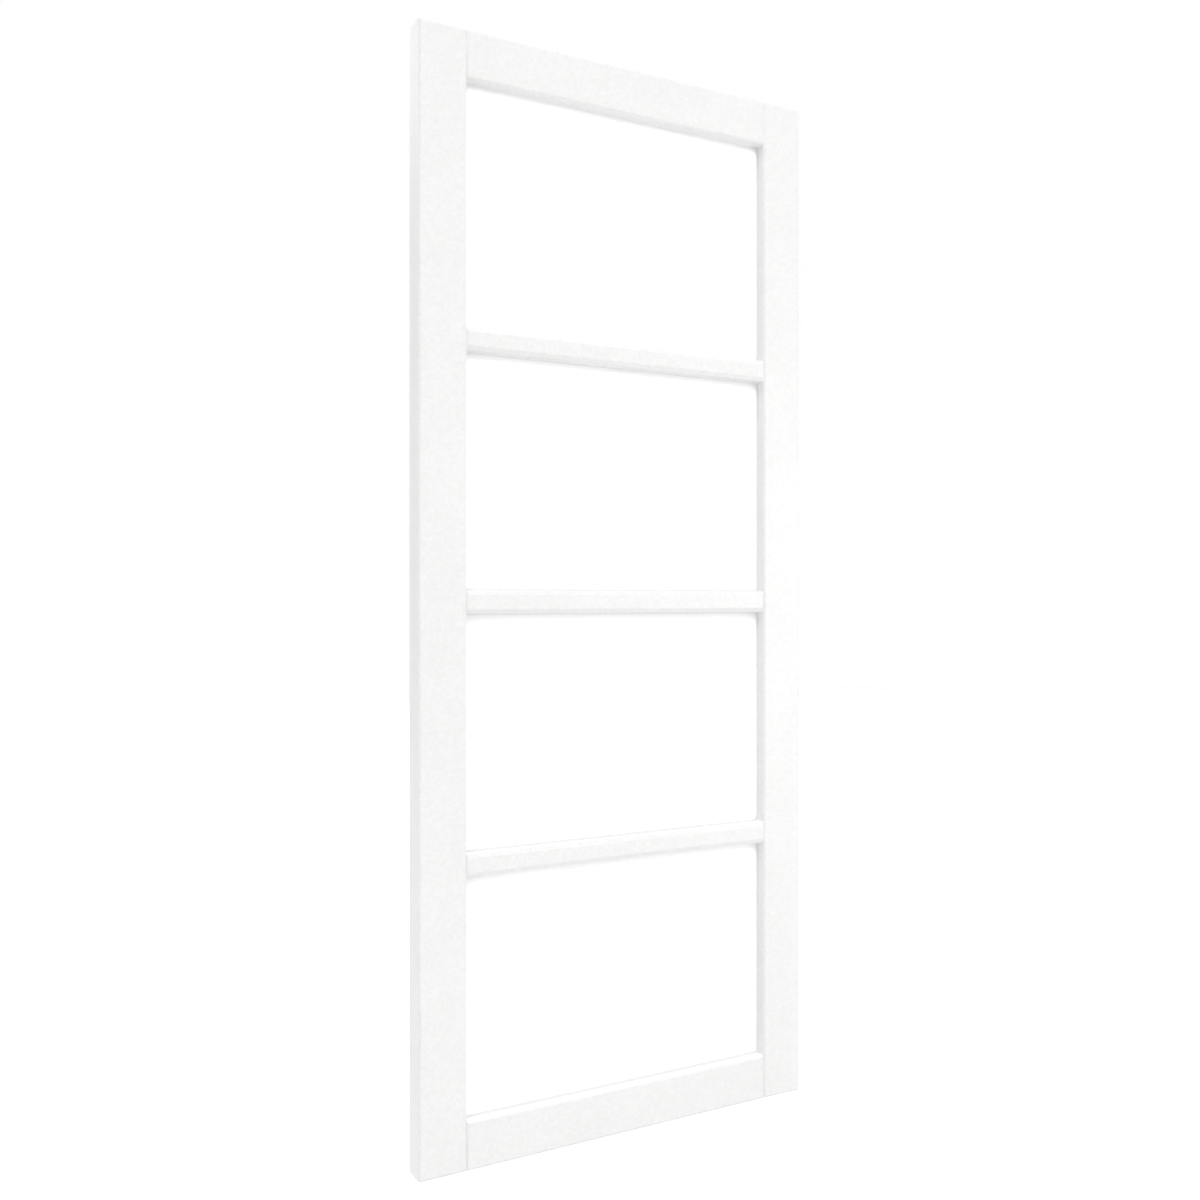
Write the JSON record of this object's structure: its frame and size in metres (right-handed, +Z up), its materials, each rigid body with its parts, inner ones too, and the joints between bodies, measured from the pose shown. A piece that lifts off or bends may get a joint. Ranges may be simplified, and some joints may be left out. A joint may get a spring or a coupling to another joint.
{
  "type": "glazed interior door leaf",
  "caption": "Tall white painted door leaf with slim horizontal glazing bars, satin glass panes held by mitred beads, and V-grooved joints.",
  "frame": {"origin": "foot of the hinge edge, halfway through the leaf's thickness", "axes": "+X across the leaf from the hinge edge to the lock edge, +Y from the front face to the back face with its beads, +Z up"},
  "size_m": [0.83, 0.05, 2.015],
  "materials": {
    "white_paint": "white satin sprayed paint on timber",
    "satin_glass": "satin, lets light through but blurs what is behind"
  },
  "bodies": {
    "root": {"left_stile": "white_paint", "right_stile": "white_paint", "top_rail": "white_paint", "bottom_rail": "white_paint", "top_bar": "white_paint", "middle_bar": "white_paint", "bottom_bar": "white_paint", "top_pane": "satin_glass", "upper_pane": "satin_glass", "lower_pane": "satin_glass", "bottom_pane": "satin_glass", "top_pane_bottom_bead": "white_paint", "top_pane_right_bead": "white_paint", "top_pane_top_bead": "white_paint", "top_pane_left_bead": "white_paint", "upper_pane_bottom_bead": "white_paint", "upper_pane_right_bead": "white_paint", "upper_pane_top_bead": "white_paint", "upper_pane_left_bead": "white_paint", "lower_pane_bottom_bead": "white_paint", "lower_pane_right_bead": "white_paint", "lower_pane_top_bead": "white_paint", "lower_pane_left_bead": "white_paint", "bottom_pane_bottom_bead": "white_paint", "bottom_pane_right_bead": "white_paint", "bottom_pane_top_bead": "white_paint", "bottom_pane_left_bead": "white_paint"}
  },
  "joints": []
}
